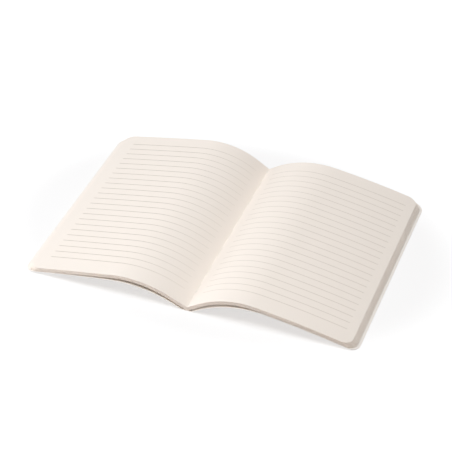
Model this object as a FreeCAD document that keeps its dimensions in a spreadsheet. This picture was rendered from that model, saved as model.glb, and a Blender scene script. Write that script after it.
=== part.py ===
"""A thin soft-cover notebook that lies open at the middle of its one folded section.

X runs across the two pages, Y from the tail to the head and Z up, in millimetres. The origin is on
the table, under the middle of the fold. Each half of the pages rises from the gutter, goes over a
crown and comes down to the fore-edge: a straight rise, a tight arc and a long flat arc, all tangent.
Every sheet follows the same centres, so the underside of the pages is the same line, one thickness in.
The tail and the head arch differently, and each piece is lofted straight from one to the other.
"""
import FreeCAD, Part
import math
import os
import Sketcher

SIZES = {
    # the closed notebook
    "page_height": 210.0,  # tail to head, after trimming
    "corner_radius": 9.0,  # round corners at the fore-edge
    "pages_thick": 3.15,  # half of the nested sheets, on one side of the fold
    "card_thick": 0.5,  # the cover's card
    "spine_width": 7.2,  # the strip of card between the two creases
    # how the sheets lie when it is open
    "edge_slope": 46.5,  # slope of the fore-edge, where each sheet reaches past the one above it
    "card_overhang": 2.0,  # how far the card reaches past the outermost sheet
    "landing_gap": 0.3,  # air between the outermost sheet and the card at the fore-edge
    "crease_gap": 0.25,  # air between the spine strip and a cover's rounded edge
    # left half of the pages, angles in degrees
    "left_reach": 138.45,  # from the gutter to the centre sheet's fore-edge, measured flat
    "left_skew": 0.75,  # the tail reaches this much further, and the head this much less
    "left_tail_rise": 25.0,  # slope up from the gutter
    "left_tail_run": 17.0,  # length of the straight rise
    "left_tail_crest": 9.5,  # slope down where the crown ends
    "left_tail_landing": 10.5,  # slope down at the fore-edge
    "left_head_rise": 32.5,
    "left_head_run": 12.0,
    "left_head_crest": 10.0,
    "left_head_landing": 11.8,
    # right half of the pages
    "right_reach": 137.8,
    "right_skew": 0.0,
    "right_tail_rise": 32.0,
    "right_tail_run": 13.0,
    "right_tail_crest": 7.5,
    "right_tail_landing": 13.65,
    "right_head_rise": 34.0,
    "right_head_run": 7.0,
    "right_head_crest": 8.0,
    "right_head_landing": 13.65,
    # the card under each half arches less than the pages
    "front_tail_rise": 24.0,
    "front_tail_run": 8.5,
    "front_tail_crest": 7.5,
    "front_head_rise": 33.0,
    "front_head_run": 3.0,
    "front_head_crest": 7.0,
    "back_tail_rise": 32.0,
    "back_tail_run": 5.0,
    "back_tail_crest": 8.3,
    "back_head_rise": 32.0,
    "back_head_run": 5.0,
    "back_head_crest": 8.3,
    # the sewing along the fold
    "stitch_pairs": 8,  # one stitch inside the fold and one outside it, each time
    "thread_thick": 0.4,
    "hole_width": 0.8,
    "thread_gap": 0.05,  # air between the thread and the paper that it lies on
}


def make_sheet(doc):
    """The spreadsheet that every size is read from, one alias to a cell."""
    sheet = doc.addObject("Spreadsheet::Sheet", "Sizes")
    for row, (alias, value) in enumerate(SIZES.items(), start=1):
        sheet.set(f"A{row}", alias)
        sheet.set(f"B{row}", str(value))
        sheet.setAlias(f"B{row}", alias)
    doc.recompute()
    return sheet


def origin_part(body, role):
    """A plane or axis of the body's own origin."""
    return next(f for f in body.Origin.OriginFeatures if f.Role == role)


def new_sketch(body, name, plane):
    sketch = body.newObject("Sketcher::SketchObject", name)
    sketch.AttachmentSupport = [(origin_part(body, plane), "")]
    sketch.MapMode = "FlatFace"
    return sketch


def end_sketch(body, name, end):
    """A sketch across the fold at the tail (end -1) or the head (end 1)."""
    sketch = new_sketch(body, f"{ENDS[end]}_{name}", "XZ_Plane")
    sketch.setExpression("AttachmentOffset.Base.z", f"{-end} * Sizes.page_height / 2")
    return sketch


def bind(sketch, constraint, expression):
    """Adds a constraint whose value comes from the sheet."""
    index = sketch.addConstraint(constraint)
    sketch.setExpression(f"Constraints[{index}]", expression)


# --- values that follow from the sizes, as numbers and as the sheet's expressions ----------------

HALF = {1: "right", -1: "left"}
COVER = {1: "back", -1: "front"}
ENDS = {-1: "tail", 1: "head"}


def reach(name, v):
    """How far one half of the centre sheet reaches at its tail or head, measured flat."""
    half, end = name.split("_")
    return v[f"{half}_reach"] + {"tail": 1, "head": -1}[end] * v[f"{half}_skew"]


def reach_text(name):
    half, end = name.split("_")
    return f"(Sizes.{half}_reach {'+' if end == 'tail' else '-'} Sizes.{half}_skew)"


def creep(name, v):
    """How far the outermost sheet reaches past the centre sheet, measured flat."""
    edge, landing = math.radians(v["edge_slope"]), math.radians(v[f"{name}_landing"])
    return v["pages_thick"] * math.cos(edge) / math.sin(edge - landing)


def creep_text(name):
    return (
        "Sizes.pages_thick * cos(Sizes.edge_slope * 1 deg)"
        f" / sin((Sizes.edge_slope - Sizes.{name}_landing) * 1 deg)"
    )


def fore_edge_height(name, v):
    """How high the centre sheet's fore-edge is: the card, the air and the sheets under it."""
    landing = math.radians(v[f"{name}_landing"])
    layers = (v["card_thick"] + v["pages_thick"]) / math.cos(landing)
    return v["landing_gap"] + layers + (v["card_overhang"] + creep(name, v)) * math.tan(landing)


def fore_edge_height_text(name):
    landing = f"Sizes.{name}_landing * 1 deg"
    return (
        f"Sizes.landing_gap + (Sizes.card_thick + Sizes.pages_thick) / cos({landing})"
        f" + (Sizes.card_overhang + {creep_text(name)}) * tan({landing})"
    )


def hinge_reach(v):
    """From the middle of the fold to a cover's hinge, the centre of the card's rounded edge."""
    return v["spine_width"] / 2 + v["crease_gap"] + v["card_thick"] / 2


HINGE_TEXT = "Sizes.spine_width / 2 + Sizes.crease_gap + Sizes.card_thick / 2"

# --- the arched half section: straight rise, crown arc, slope arc -------------------------------


class Arch:
    """Where the straight rise and the two arcs of one half run, before they are drawn.

    side is 1 on the right and -1 on the left. The two radii follow from the end point:
    across  = run cos(rise) + crown (sin(rise) + sin(crest)) + slope (sin(landing) - sin(crest))
    upwards = run sin(rise) + crown (cos(crest) - cos(rise)) - slope (cos(crest) - cos(landing))
    """

    def __init__(self, side, start, end, rise, run, crest, landing):
        self.side = side
        self.rise, self.crest, self.landing = (math.radians(a) for a in (rise, crest, landing))
        across = side * (end[0] - start[0]) - run * math.cos(self.rise)
        upwards = end[1] - start[1] - run * math.sin(self.rise)
        a = math.sin(self.rise) + math.sin(self.crest)
        b = math.sin(self.landing) - math.sin(self.crest)
        c = math.cos(self.crest) - math.cos(self.rise)
        d = math.cos(self.landing) - math.cos(self.crest)
        self.crown_radius = (across * d - b * upwards) / (a * d - b * c)
        self.slope_radius = (a * upwards - c * across) / (a * d - b * c)
        self.start = start
        self.bend = self.step(start, run, -self.rise)
        self.crown_centre = self.normal(self.bend, -self.rise, -self.crown_radius)
        top = self.normal(self.crown_centre, self.crest, self.crown_radius)
        self.slope_centre = self.normal(top, self.crest, -self.slope_radius)

    def step(self, point, length, fall):
        """The point a length away, outwards from the fold and down by the angle fall."""
        return (
            point[0] + self.side * length * math.cos(fall),
            point[1] - length * math.sin(fall),
        )

    def normal(self, point, fall, length):
        """The point a length above another, square to a line that falls outwards."""
        return (
            point[0] + self.side * length * math.sin(fall),
            point[1] + length * math.cos(fall),
        )


def arc_shape(side, centre, radius, from_fall, to_fall):
    """An arc over the slopes from_fall to to_fall. A sketch's arcs always run anticlockwise."""
    quarter = math.pi / 2
    first, last = quarter - side * from_fall, quarter - side * to_fall
    circle = Part.Circle(FreeCAD.Vector(*centre, 0), FreeCAD.Vector(0, 0, 1), radius)
    return Part.ArcOfCircle(circle, min(first, last), max(first, last))


def draw_chain(sketch, arch, inset):
    """Draws the line and two arcs of an arch, moved inwards by inset, each tangent to the next.

    Returns the three curves, and the point numbers of an arc's inner and outer end.
    """
    inner, outer = (2, 1) if arch.side > 0 else (1, 2)
    start = arch.normal(arch.start, -arch.rise, -inset)
    bend = arch.normal(arch.bend, -arch.rise, -inset)
    line = sketch.addGeometry(
        Part.LineSegment(FreeCAD.Vector(*start, 0), FreeCAD.Vector(*bend, 0))
    )
    crown = sketch.addGeometry(
        arc_shape(arch.side, arch.crown_centre, arch.crown_radius - inset, -arch.rise, arch.crest)
    )
    slope = sketch.addGeometry(
        arc_shape(arch.side, arch.slope_centre, arch.slope_radius - inset, arch.crest, arch.landing)
    )
    sketch.addConstraint(Sketcher.Constraint("Tangent", line, 2, crown, inner))
    sketch.addConstraint(Sketcher.Constraint("Tangent", crown, outer, slope, inner))
    return line, crown, slope, inner, outer


def drive_chain(sketch, arch, chain, names):
    """Ties a drawn chain to the sheet: its slopes, its straight run and how far it reaches."""
    line, crown, slope, _, outer = chain
    rise, run, crest, landing, reach, height = names
    angle = f"{rise} * 1 deg" if arch.side > 0 else f"180 deg - {rise} * 1 deg"
    value = arch.rise if arch.side > 0 else math.pi - arch.rise
    bind(sketch, Sketcher.Constraint("Angle", line, value), angle)
    length = math.dist(arch.start, arch.bend)
    bind(sketch, Sketcher.Constraint("Distance", line, length), run)
    turn = f"({rise} + {crest}) * 1 deg"
    bind(sketch, Sketcher.Constraint("Angle", crown, arch.rise + arch.crest), turn)
    turn = f"({landing} - {crest}) * 1 deg"
    bind(sketch, Sketcher.Constraint("Angle", slope, arch.landing - arch.crest), turn)
    end = arch.normal(arch.slope_centre, arch.landing, arch.slope_radius)
    ends = (-1, 1, slope, outer) if arch.side > 0 else (slope, outer, -1, 1)
    bind(sketch, Sketcher.Constraint("DistanceX", *ends, abs(end[0])), reach)
    if height:
        bind(sketch, Sketcher.Constraint("DistanceY", -1, 1, slope, outer, end[1]), height)
    else:
        sketch.addConstraint(Sketcher.Constraint("PointOnObject", slope, outer, -1))


def follow_chain(sketch, chain, inset_chain, thickness, expression):
    """Keeps the second chain parallel to the first, on the same centres, a thickness away."""
    for arc in (1, 2):
        sketch.addConstraint(Sketcher.Constraint("Coincident", inset_chain[arc], 3, chain[arc], 3))
    sketch.addConstraint(Sketcher.Constraint("Parallel", inset_chain[0], chain[0]))
    bind(
        sketch,
        Sketcher.Constraint("Distance", inset_chain[0], 1, chain[0], thickness),
        expression,
    )


# --- the pages -----------------------------------------------------------------------------------


def page_arch(side, end, v):
    """The top sheet's line on one half, from the gutter to its fore-edge."""
    name = f"{HALF[side]}_{ENDS[end]}"
    start = (0, v["card_thick"] + v["pages_thick"])
    stop = (side * reach(name, v), fore_edge_height(name, v))
    slopes = (v[f"{name}_rise"], v[f"{name}_run"], v[f"{name}_crest"], v[f"{name}_landing"])
    return Arch(side, start, stop, *slopes)


def draw_page_section(sketch, end, v):
    """Both halves in one closed outline: a sharp gutter above, a flat fold below."""
    starts = []
    first_line = None
    for side, half in HALF.items():
        name = f"{half}_{ENDS[end]}"
        arch = page_arch(side, end, v)
        top = draw_chain(sketch, arch, 0)
        names = [f"Sizes.{name}_{size}" for size in ("rise", "run", "crest", "landing")]
        drive_chain(sketch, arch, top, (*names, reach_text(name), fore_edge_height_text(name)))
        if first_line is None:
            sketch.addConstraint(Sketcher.Constraint("PointOnObject", top[0], 1, -2))
            bind(
                sketch,
                Sketcher.Constraint("DistanceY", -1, 1, top[0], 1, arch.start[1]),
                "Sizes.card_thick + Sizes.pages_thick",
            )
            first_line = top[0]
        else:
            sketch.addConstraint(Sketcher.Constraint("Coincident", top[0], 1, first_line, 1))
        under = draw_chain(sketch, arch, v["pages_thick"])
        follow_chain(sketch, top, under, v["pages_thick"], "Sizes.pages_thick")
        starts.append(under[0])
        outer = top[4]
        edge = sketch.addGeometry(
            Part.LineSegment(sketch.getPoint(top[2], outer), sketch.getPoint(under[2], outer))
        )
        sketch.addConstraint(Sketcher.Constraint("Coincident", edge, 1, top[2], outer))
        sketch.addConstraint(Sketcher.Constraint("Coincident", edge, 2, under[2], outer))
        value = -v["edge_slope"] if side > 0 else v["edge_slope"] - 180
        angle = "-Sizes.edge_slope * 1 deg" if side > 0 else "(Sizes.edge_slope - 180) * 1 deg"
        bind(sketch, Sketcher.Constraint("Angle", edge, math.radians(value)), angle)
    fold = sketch.addGeometry(
        Part.LineSegment(sketch.getPoint(starts[0], 1), sketch.getPoint(starts[1], 1))
    )
    sketch.addConstraint(Sketcher.Constraint("Coincident", fold, 1, starts[0], 1))
    sketch.addConstraint(Sketcher.Constraint("Coincident", fold, 2, starts[1], 1))
    sketch.addConstraint(Sketcher.Constraint("Horizontal", fold))
    bind(
        sketch,
        Sketcher.Constraint("DistanceY", -1, 1, fold, 1, v["card_thick"]),
        "Sizes.card_thick",
    )


def loft_across(body, tail, head, name):
    """Straight rules from the tail's section to the head's."""
    loft = body.newObject("PartDesign::AdditiveLoft", name)
    loft.Profile = tail
    loft.Sections = [head]
    loft.Ruled = True
    return loft


def page_foot(half, v):
    """Where the slanted fore-edge of the pages would meet the table."""
    height = fore_edge_height(half, v)
    return reach(half, v) + height / math.tan(math.radians(v["edge_slope"]))


def page_foot_text(half):
    height = fore_edge_height_text(half)
    return f"{reach_text(half)} + ({height}) / tan(Sizes.edge_slope * 1 deg)"


def card_reach(half, v):
    """The furthest edge of a cover, the upper one of its square-cut end."""
    lean = v["card_thick"] * math.sin(math.radians(v[f"{half}_landing"]))
    return reach(half, v) + creep(half, v) + v["card_overhang"] + lean


def card_reach_text(half):
    lean = f"Sizes.card_thick * sin(Sizes.{half}_landing * 1 deg)"
    return f"{reach_text(half)} + {creep_text(half)} + Sizes.card_overhang + {lean}"


def draw_corner_offcut(sketch, side, end, reach_of, text_of, v):
    """What a corner cutter takes off: the corner outside a quarter circle, in the table's plane.

    side is 1 for the right fore-edge and -1 for the left, end is 1 for the head and -1 for the tail.
    The reach changes evenly from the tail to the head, and is taken where the quarter circle starts.
    """
    near, far = f"{HALF[side]}_{ENDS[end]}", f"{HALF[side]}_{ENDS[-end]}"
    radius = v["corner_radius"]
    share = radius / v["page_height"]
    limit = reach_of(near, v) * (1 - share) + reach_of(far, v) * share
    share_text = "Sizes.corner_radius / Sizes.page_height"
    limit_text = f"({text_of(near)}) * (1 - {share_text}) + ({text_of(far)}) * {share_text}"
    centre = FreeCAD.Vector(side * (limit - radius), end * (v["page_height"] / 2 - radius), 0)
    first = {(1, 1): 0, (-1, 1): 90, (-1, -1): 180, (1, -1): 270}[side, end]
    circle = Part.Circle(centre, FreeCAD.Vector(0, 0, 1), radius)
    arc = sketch.addGeometry(
        Part.ArcOfCircle(circle, math.radians(first), math.radians(first + 90))
    )
    tip = centre + FreeCAD.Vector(side, end, 0) * 1.5 * radius
    lines = [
        sketch.addGeometry(Part.LineSegment(sketch.getPoint(arc, place), tip)) for place in (1, 2)
    ]
    for place, line in zip((1, 2), lines):
        sketch.addConstraint(Sketcher.Constraint("Coincident", line, 1, arc, place))
    sketch.addConstraint(Sketcher.Constraint("Coincident", lines[0], 2, lines[1], 2))
    level, upright = (1, 2) if side == end else (2, 1)
    sketch.addConstraint(Sketcher.Constraint("Horizontal", arc, level, arc, 3))
    sketch.addConstraint(Sketcher.Constraint("Vertical", arc, upright, arc, 3))
    bind(sketch, Sketcher.Constraint("Radius", arc, radius), "Sizes.corner_radius")
    across = (-1, 1, arc, 3) if side > 0 else (arc, 3, -1, 1)
    along = (-1, 1, arc, 3) if end > 0 else (arc, 3, -1, 1)
    bind(
        sketch,
        Sketcher.Constraint("DistanceX", *across, abs(centre.x)),
        f"{limit_text} - Sizes.corner_radius",
    )
    bind(
        sketch,
        Sketcher.Constraint("DistanceY", *along, abs(centre.y)),
        "Sizes.page_height / 2 - Sizes.corner_radius",
    )
    to_tip_x = (arc, 3, lines[0], 2) if side > 0 else (lines[0], 2, arc, 3)
    to_tip_y = (arc, 3, lines[0], 2) if end > 0 else (lines[0], 2, arc, 3)
    for kind, ends in (("DistanceX", to_tip_x), ("DistanceY", to_tip_y)):
        bind(sketch, Sketcher.Constraint(kind, *ends, 1.5 * radius), "1.5 * Sizes.corner_radius")


def cut_corners(doc, body, label, side, reach_of, text_of, v):
    """Cuts the two corners of one half, square to the table. Returns the cut."""
    sketch = new_sketch(body, f"{label}_offcuts", "XY_Plane")
    for end in ENDS:
        draw_corner_offcut(sketch, side, end, reach_of, text_of, v)
    doc.recompute()
    cut = body.newObject("PartDesign::Pocket", label)
    cut.Profile = sketch
    cut.SideType = "Symmetric"
    cut.setExpression("Length", "8 * (Sizes.pages_thick + Sizes.card_thick)")
    return cut


def cut_page_corners(doc, body, side, v):
    """Rounds the two corners of one half with cuts that lean as much as the fore-edge does."""
    cut = cut_corners(doc, body, f"{HALF[side]}_corners", side, page_foot, page_foot_text, v)
    cut.AlongSketchNormal = False
    cut.UseCustomVector = True
    cut.setExpression("Direction.x", f"{side} * cos(Sizes.edge_slope * 1 deg)")
    cut.setExpression("Direction.y", "0")
    cut.setExpression("Direction.z", "-sin(Sizes.edge_slope * 1 deg)")
    doc.recompute()


def pair_share(share):
    return f"{share} * Sizes.page_height / Sizes.stitch_pairs"


def pattern_along(body, feature, name):
    """Repeats a feature for every pair of stitches, from the tail to the head."""
    pattern = body.newObject("PartDesign::LinearPattern", name)
    pattern.Originals = [feature]
    pattern.Direction = (origin_part(body, "Y_Axis"), [""])
    pattern.Mode = "Extent"
    pattern.setExpression("Length", "Sizes.page_height - Sizes.page_height / Sizes.stitch_pairs")
    pattern.setExpression("Occurrences", "Sizes.stitch_pairs")
    body.Tip = pattern
    return pattern


def draw_box(sketch, width, width_text, low, low_text, high, high_text):
    """A rectangle astride a sketch's upright axis, from one height to another."""
    corners = [(-width / 2, low), (width / 2, low), (width / 2, high), (-width / 2, high)]
    points = [FreeCAD.Vector(*corner, 0) for corner in corners]
    lines = [
        sketch.addGeometry(Part.LineSegment(a, b)) for a, b in zip(points, points[1:] + points[:1])
    ]
    for line, following in zip(lines, lines[1:] + lines[:1]):
        sketch.addConstraint(Sketcher.Constraint("Coincident", line, 2, following, 1))
    for line, kind in zip(lines[1:], ("Vertical", "Horizontal", "Vertical")):
        sketch.addConstraint(Sketcher.Constraint(kind, line))
    sketch.addConstraint(Sketcher.Constraint("Symmetric", lines[0], 1, lines[0], 2, -2))
    bind(sketch, Sketcher.Constraint("DistanceX", lines[0], 1, lines[0], 2, width), width_text)
    bind(sketch, Sketcher.Constraint("DistanceY", -1, 1, lines[2], 1, high), high_text)
    if low:
        bind(sketch, Sketcher.Constraint("DistanceY", -1, 1, lines[0], 1, low), low_text)
    else:
        sketch.addConstraint(Sketcher.Constraint("PointOnObject", lines[0], 1, -1))


def sew_holes(doc, body, v):
    """Two square needle holes for each pair of stitches, right through the fold."""
    pair, width = v["page_height"] / v["stitch_pairs"], v["hole_width"]
    sketch = new_sketch(body, "needle_holes", "XY_Plane")
    sketch.setExpression("AttachmentOffset.Base.y", "-Sizes.page_height / 2")
    for share in (0.25, 0.75):
        low, high = share * pair - width / 2, share * pair + width / 2
        low_text = f"{pair_share(share)} - Sizes.hole_width / 2"
        high_text = f"{pair_share(share)} + Sizes.hole_width / 2"
        draw_box(sketch, width, "Sizes.hole_width", low, low_text, high, high_text)
    doc.recompute()
    holes = body.newObject("PartDesign::Pocket", "needle_hole_pair")
    holes.Profile = sketch
    holes.SideType = "Symmetric"
    holes.setExpression("Length", "4 * (Sizes.pages_thick + Sizes.card_thick)")
    doc.recompute()
    pattern_along(body, holes, "needle_hole_row")
    doc.recompute()


def press_thread_groove(doc, body, v):
    """The groove that the tight outer stitches press into the underside of the fold."""
    sketch = new_sketch(body, "thread_groove_section", "XZ_Plane")
    top = v["card_thick"] + v["thread_thick"] + 2 * v["thread_gap"]
    draw_box(
        sketch,
        v["thread_thick"] + 4 * v["thread_gap"],
        "Sizes.thread_thick + 4 * Sizes.thread_gap",
        v["card_thick"] / 2,
        "Sizes.card_thick / 2",
        top,
        "Sizes.card_thick + Sizes.thread_thick + 2 * Sizes.thread_gap",
    )
    doc.recompute()
    groove = body.newObject("PartDesign::Pocket", "thread_groove")
    groove.Profile = sketch
    groove.SideType = "Symmetric"
    groove.setExpression("Length", "Sizes.page_height")
    doc.recompute()


def make_page_block(doc, v):
    body = doc.addObject("PartDesign::Body", "page_block")
    sections = []
    for end in ENDS:
        sections.append(end_sketch(body, "page_section", end))
        draw_page_section(sections[-1], end, v)
    doc.recompute()
    loft_across(body, *sections, "folded_sheets")
    doc.recompute()
    for side in HALF:
        cut_page_corners(doc, body, side, v)
    press_thread_groove(doc, body, v)
    sew_holes(doc, body, v)
    return body


# --- the card cover ------------------------------------------------------------------------------


def cover_arch(side, end, v):
    """The underside of one cover, from its crease to the edge that rests on the table."""
    name, half = f"{COVER[side]}_{ENDS[end]}", f"{HALF[side]}_{ENDS[end]}"
    rise = math.radians(v[f"{name}_rise"])
    nose = v["card_thick"] / 2
    start = (side * (hinge_reach(v) + nose * math.sin(rise)), nose - nose * math.cos(rise))
    stop = reach(half, v) + creep(half, v) + v["card_overhang"]
    slopes = (v[f"{name}_rise"], v[f"{name}_run"], v[f"{name}_crest"], v[f"{half}_landing"])
    return Arch(side, start, (side * stop, 0), *slopes)


def draw_cover_section(sketch, side, end, v):
    """A strip of card: a round edge at the crease, two parallel chains and a square-cut end."""
    arch = cover_arch(side, end, v)
    name, half = f"{COVER[side]}_{ENDS[end]}", f"{HALF[side]}_{ENDS[end]}"
    under = draw_chain(sketch, arch, 0)
    names = [f"Sizes.{name}_{size}" for size in ("rise", "run", "crest")]
    stop = f"{reach_text(half)} + {creep_text(half)} + Sizes.card_overhang"
    drive_chain(sketch, arch, under, (*names, f"Sizes.{half}_landing", stop, None))
    above = draw_chain(sketch, arch, -v["card_thick"])
    follow_chain(sketch, under, above, v["card_thick"], "Sizes.card_thick")
    nose, hinge = v["card_thick"] / 2, hinge_reach(v)
    circle = Part.Circle(FreeCAD.Vector(side * hinge, nose, 0), FreeCAD.Vector(0, 0, 1), nose)
    quarter = math.pi / 2
    if side > 0:
        turns = (quarter + arch.rise, 2 * quarter, 3 * quarter, 3 * quarter + arch.rise)
        first_line, last_line = above[0], under[0]
    else:
        turns = (-quarter - arch.rise, -quarter, 0, quarter - arch.rise)
        first_line, last_line = under[0], above[0]
    # The middle arc is a quarter circle at both ends of the card, so the crease turns on a
    # cylinder; the arcs beside it take up the change in slope.
    arcs = [sketch.addGeometry(Part.ArcOfCircle(circle, *pair)) for pair in zip(turns, turns[1:])]
    edge = arcs[1]
    for arc, following in zip(arcs, arcs[1:]):
        sketch.addConstraint(Sketcher.Constraint("Coincident", arc, 2, following, 1))
        sketch.addConstraint(Sketcher.Constraint("Coincident", arc, 3, following, 3))
    sketch.addConstraint(Sketcher.Constraint("Tangent", arcs[0], 1, first_line, 1))
    sketch.addConstraint(Sketcher.Constraint("Tangent", arcs[2], 2, last_line, 1))
    level, upright = (1, 2) if side > 0 else (2, 1)
    sketch.addConstraint(Sketcher.Constraint("Horizontal", edge, level, edge, 3))
    sketch.addConstraint(Sketcher.Constraint("Vertical", edge, upright, edge, 3))
    ends = (-1, 1, edge, 3) if side > 0 else (edge, 3, -1, 1)
    bind(sketch, Sketcher.Constraint("DistanceX", *ends, hinge), HINGE_TEXT)
    bind(
        sketch,
        Sketcher.Constraint("DistanceY", -1, 1, edge, 3, nose),
        "Sizes.card_thick / 2",
    )
    outer = under[4]
    cut = sketch.addGeometry(
        Part.LineSegment(sketch.getPoint(above[2], outer), sketch.getPoint(under[2], outer))
    )
    sketch.addConstraint(Sketcher.Constraint("Coincident", cut, 1, above[2], outer))
    sketch.addConstraint(Sketcher.Constraint("Coincident", cut, 2, under[2], outer))
    sketch.addConstraint(Sketcher.Constraint("PointOnObject", under[2], 3, cut))


def make_cover_spine(doc, v):
    body = doc.addObject("PartDesign::Body", "cover_spine")
    section = new_sketch(body, "spine_section", "XZ_Plane")
    width, thick = v["spine_width"], v["card_thick"]
    draw_box(section, width, "Sizes.spine_width", 0, None, thick, "Sizes.card_thick")
    doc.recompute()
    strip = body.newObject("PartDesign::Pad", "spine_strip")
    strip.Profile = section
    strip.SideType = "Symmetric"
    strip.setExpression("Length", "Sizes.page_height")
    doc.recompute()
    return body


def make_cover(doc, label, side, v):
    body = doc.addObject("PartDesign::Body", label)
    sections = []
    for end in ENDS:
        sections.append(end_sketch(body, f"{label}_section", end))
        draw_cover_section(sections[-1], side, end, v)
    doc.recompute()
    loft_across(body, *sections, f"{label}_card")
    doc.recompute()
    cut_corners(doc, body, f"{label}_corners", side, card_reach, card_reach_text, v)
    doc.recompute()
    return body


# --- the sewing ----------------------------------------------------------------------------------


def draw_stitch_pair(sketch, v):
    """The thread's middle line for one pair of stitches, in the plane of the fold.

    Half an inner stitch, down through a hole, one outer stitch, up through the next hole and half
    an inner stitch again, so that the pairs join end to end. The tight thread turns square.
    """
    rises = [f"{half}_{end}_rise" for half in HALF.values() for end in ENDS.values()]
    steepest = math.radians(max(v[rise] for rise in rises))
    inner = v["card_thick"] + v["pages_thick"] + v["thread_gap"]
    inner += v["thread_thick"] / 2 / math.cos(steepest)
    outer = v["card_thick"] + v["thread_gap"] + v["thread_thick"] / 2
    rise = f"max({'; '.join(f'Sizes.{name}' for name in rises)}) * 1 deg"
    inner_text = (
        "Sizes.card_thick + Sizes.pages_thick + Sizes.thread_gap"
        f" + Sizes.thread_thick / 2 / cos({rise})"
    )
    outer_text = "Sizes.card_thick + Sizes.thread_gap + Sizes.thread_thick / 2"
    turns = [(0, inner), (0.25, inner), (0.25, outer), (0.75, outer), (0.75, inner), (1, inner)]
    pair = v["page_height"] / v["stitch_pairs"]
    corners = [
        FreeCAD.Vector(share * pair - v["page_height"] / 2, height, 0) for share, height in turns
    ]
    lines = [sketch.addGeometry(Part.LineSegment(a, b)) for a, b in zip(corners, corners[1:])]
    for line, following in zip(lines, lines[1:]):
        sketch.addConstraint(Sketcher.Constraint("Coincident", line, 2, following, 1))
    for line, kind in zip(lines, ("Horizontal", "Vertical") * 2 + ("Horizontal",)):
        sketch.addConstraint(Sketcher.Constraint(kind, line))
    for line, place, share in ((0, 1, 0), (1, 1, 0.25), (3, 1, 0.75), (4, 2, 1)):
        start = v["page_height"] / 2 - share * pair
        ends = (lines[line], place, -1, 1)
        text = f"Sizes.page_height / 2 - {pair_share(share)}"
        bind(sketch, Sketcher.Constraint("DistanceX", *ends, start), text)
    for line, height, text in ((0, inner, inner_text), (2, outer, outer_text), (4, inner, inner_text)):
        ends = (-1, 1, lines[line], 1)
        bind(sketch, Sketcher.Constraint("DistanceY", *ends, height), text)
    return inner, inner_text


def make_binding_thread(doc, v):
    body = doc.addObject("PartDesign::Body", "binding_thread")
    path = new_sketch(body, "stitch_pair_path", "YZ_Plane")
    height, height_text = draw_stitch_pair(path, v)
    section = new_sketch(body, "thread_section", "XZ_Plane")
    section.setExpression("AttachmentOffset.Base.z", "Sizes.page_height / 2")
    circle = Part.Circle(
        FreeCAD.Vector(0, height, 0), FreeCAD.Vector(0, 0, 1), v["thread_thick"] / 2
    )
    ring = section.addGeometry(circle)
    section.addConstraint(Sketcher.Constraint("PointOnObject", ring, 3, -2))
    bind(section, Sketcher.Constraint("DistanceY", -1, 1, ring, 3, height), height_text)
    bind(section, Sketcher.Constraint("Diameter", ring, v["thread_thick"]), "Sizes.thread_thick")
    doc.recompute()
    thread = body.newObject("PartDesign::AdditivePipe", "stitch_pair")
    thread.Profile = section
    thread.Spine = (path, [])
    thread.Transition = "Right corner"
    doc.recompute()
    pattern_along(body, thread, "stitch_row")
    doc.recompute()
    return body


# --- build ---------------------------------------------------------------------------------------


def check(doc, bodies):
    """Stops if an object failed or a piece has no sound solid."""
    for item in doc.Objects:
        if {"Invalid", "Error"} & set(item.State):
            raise RuntimeError(f"{item.Label} failed: {item.State}")
    for body in bodies:
        if body.Shape.isNull() or not body.Shape.isValid() or not body.Shape.Solids:
            raise RuntimeError(f"{body.Label} has no sound solid")


def main():
    doc = FreeCAD.newDocument("notebook")
    make_sheet(doc)
    bodies = [
        make_page_block(doc, SIZES),
        make_cover_spine(doc, SIZES),
        make_cover(doc, "front_cover", -1, SIZES),
        make_cover(doc, "back_cover", 1, SIZES),
        make_binding_thread(doc, SIZES),
    ]
    doc.recompute()
    check(doc, bodies)
    os.makedirs("parts", exist_ok=True)
    for body in bodies:
        body.Shape.exportStep(f"parts/{body.Label}.step")
        box = body.Shape.BoundBox
        print(body.Label, f"{body.Shape.Volume:.1f} mm3", box)


main()
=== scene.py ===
"""Dresses an open, ruled notepad: nested sheets, card cover, sewing thread and a plain studio.

Lengths are in metres and angles in radians. X runs across the spread to the right, Y along the fold
to the head and Z up from the table, with the origin under the middle of the fold.
"""
import math

import bpy
import numpy as np
from bpy.props import FloatProperty, FloatVectorProperty, IntProperty, PointerProperty
from mathutils import Matrix, Vector


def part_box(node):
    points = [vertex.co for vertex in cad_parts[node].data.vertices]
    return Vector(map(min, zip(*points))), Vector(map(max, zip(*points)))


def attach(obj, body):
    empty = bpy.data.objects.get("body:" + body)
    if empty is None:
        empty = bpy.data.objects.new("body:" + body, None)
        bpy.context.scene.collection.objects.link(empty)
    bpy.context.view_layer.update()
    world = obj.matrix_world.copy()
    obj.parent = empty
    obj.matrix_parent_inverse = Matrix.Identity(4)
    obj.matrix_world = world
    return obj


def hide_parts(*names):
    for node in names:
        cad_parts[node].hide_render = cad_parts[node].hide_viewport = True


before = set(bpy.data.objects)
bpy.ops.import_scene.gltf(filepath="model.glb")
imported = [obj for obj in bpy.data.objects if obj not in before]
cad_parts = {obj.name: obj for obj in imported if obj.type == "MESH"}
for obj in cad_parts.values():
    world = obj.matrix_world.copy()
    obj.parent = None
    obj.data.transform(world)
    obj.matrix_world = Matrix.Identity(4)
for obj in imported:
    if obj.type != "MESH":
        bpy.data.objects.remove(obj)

bl_info = {
    "name": "Open notepad",
    "version": (1, 0, 0),
    "blender": (4, 5, 0),
    "location": "View3D > Sidebar > Notepad",
    "description": "Makes the sheets, the card cover, the sewing and the studio of an open notepad",
    "category": "Object",
}

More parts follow.
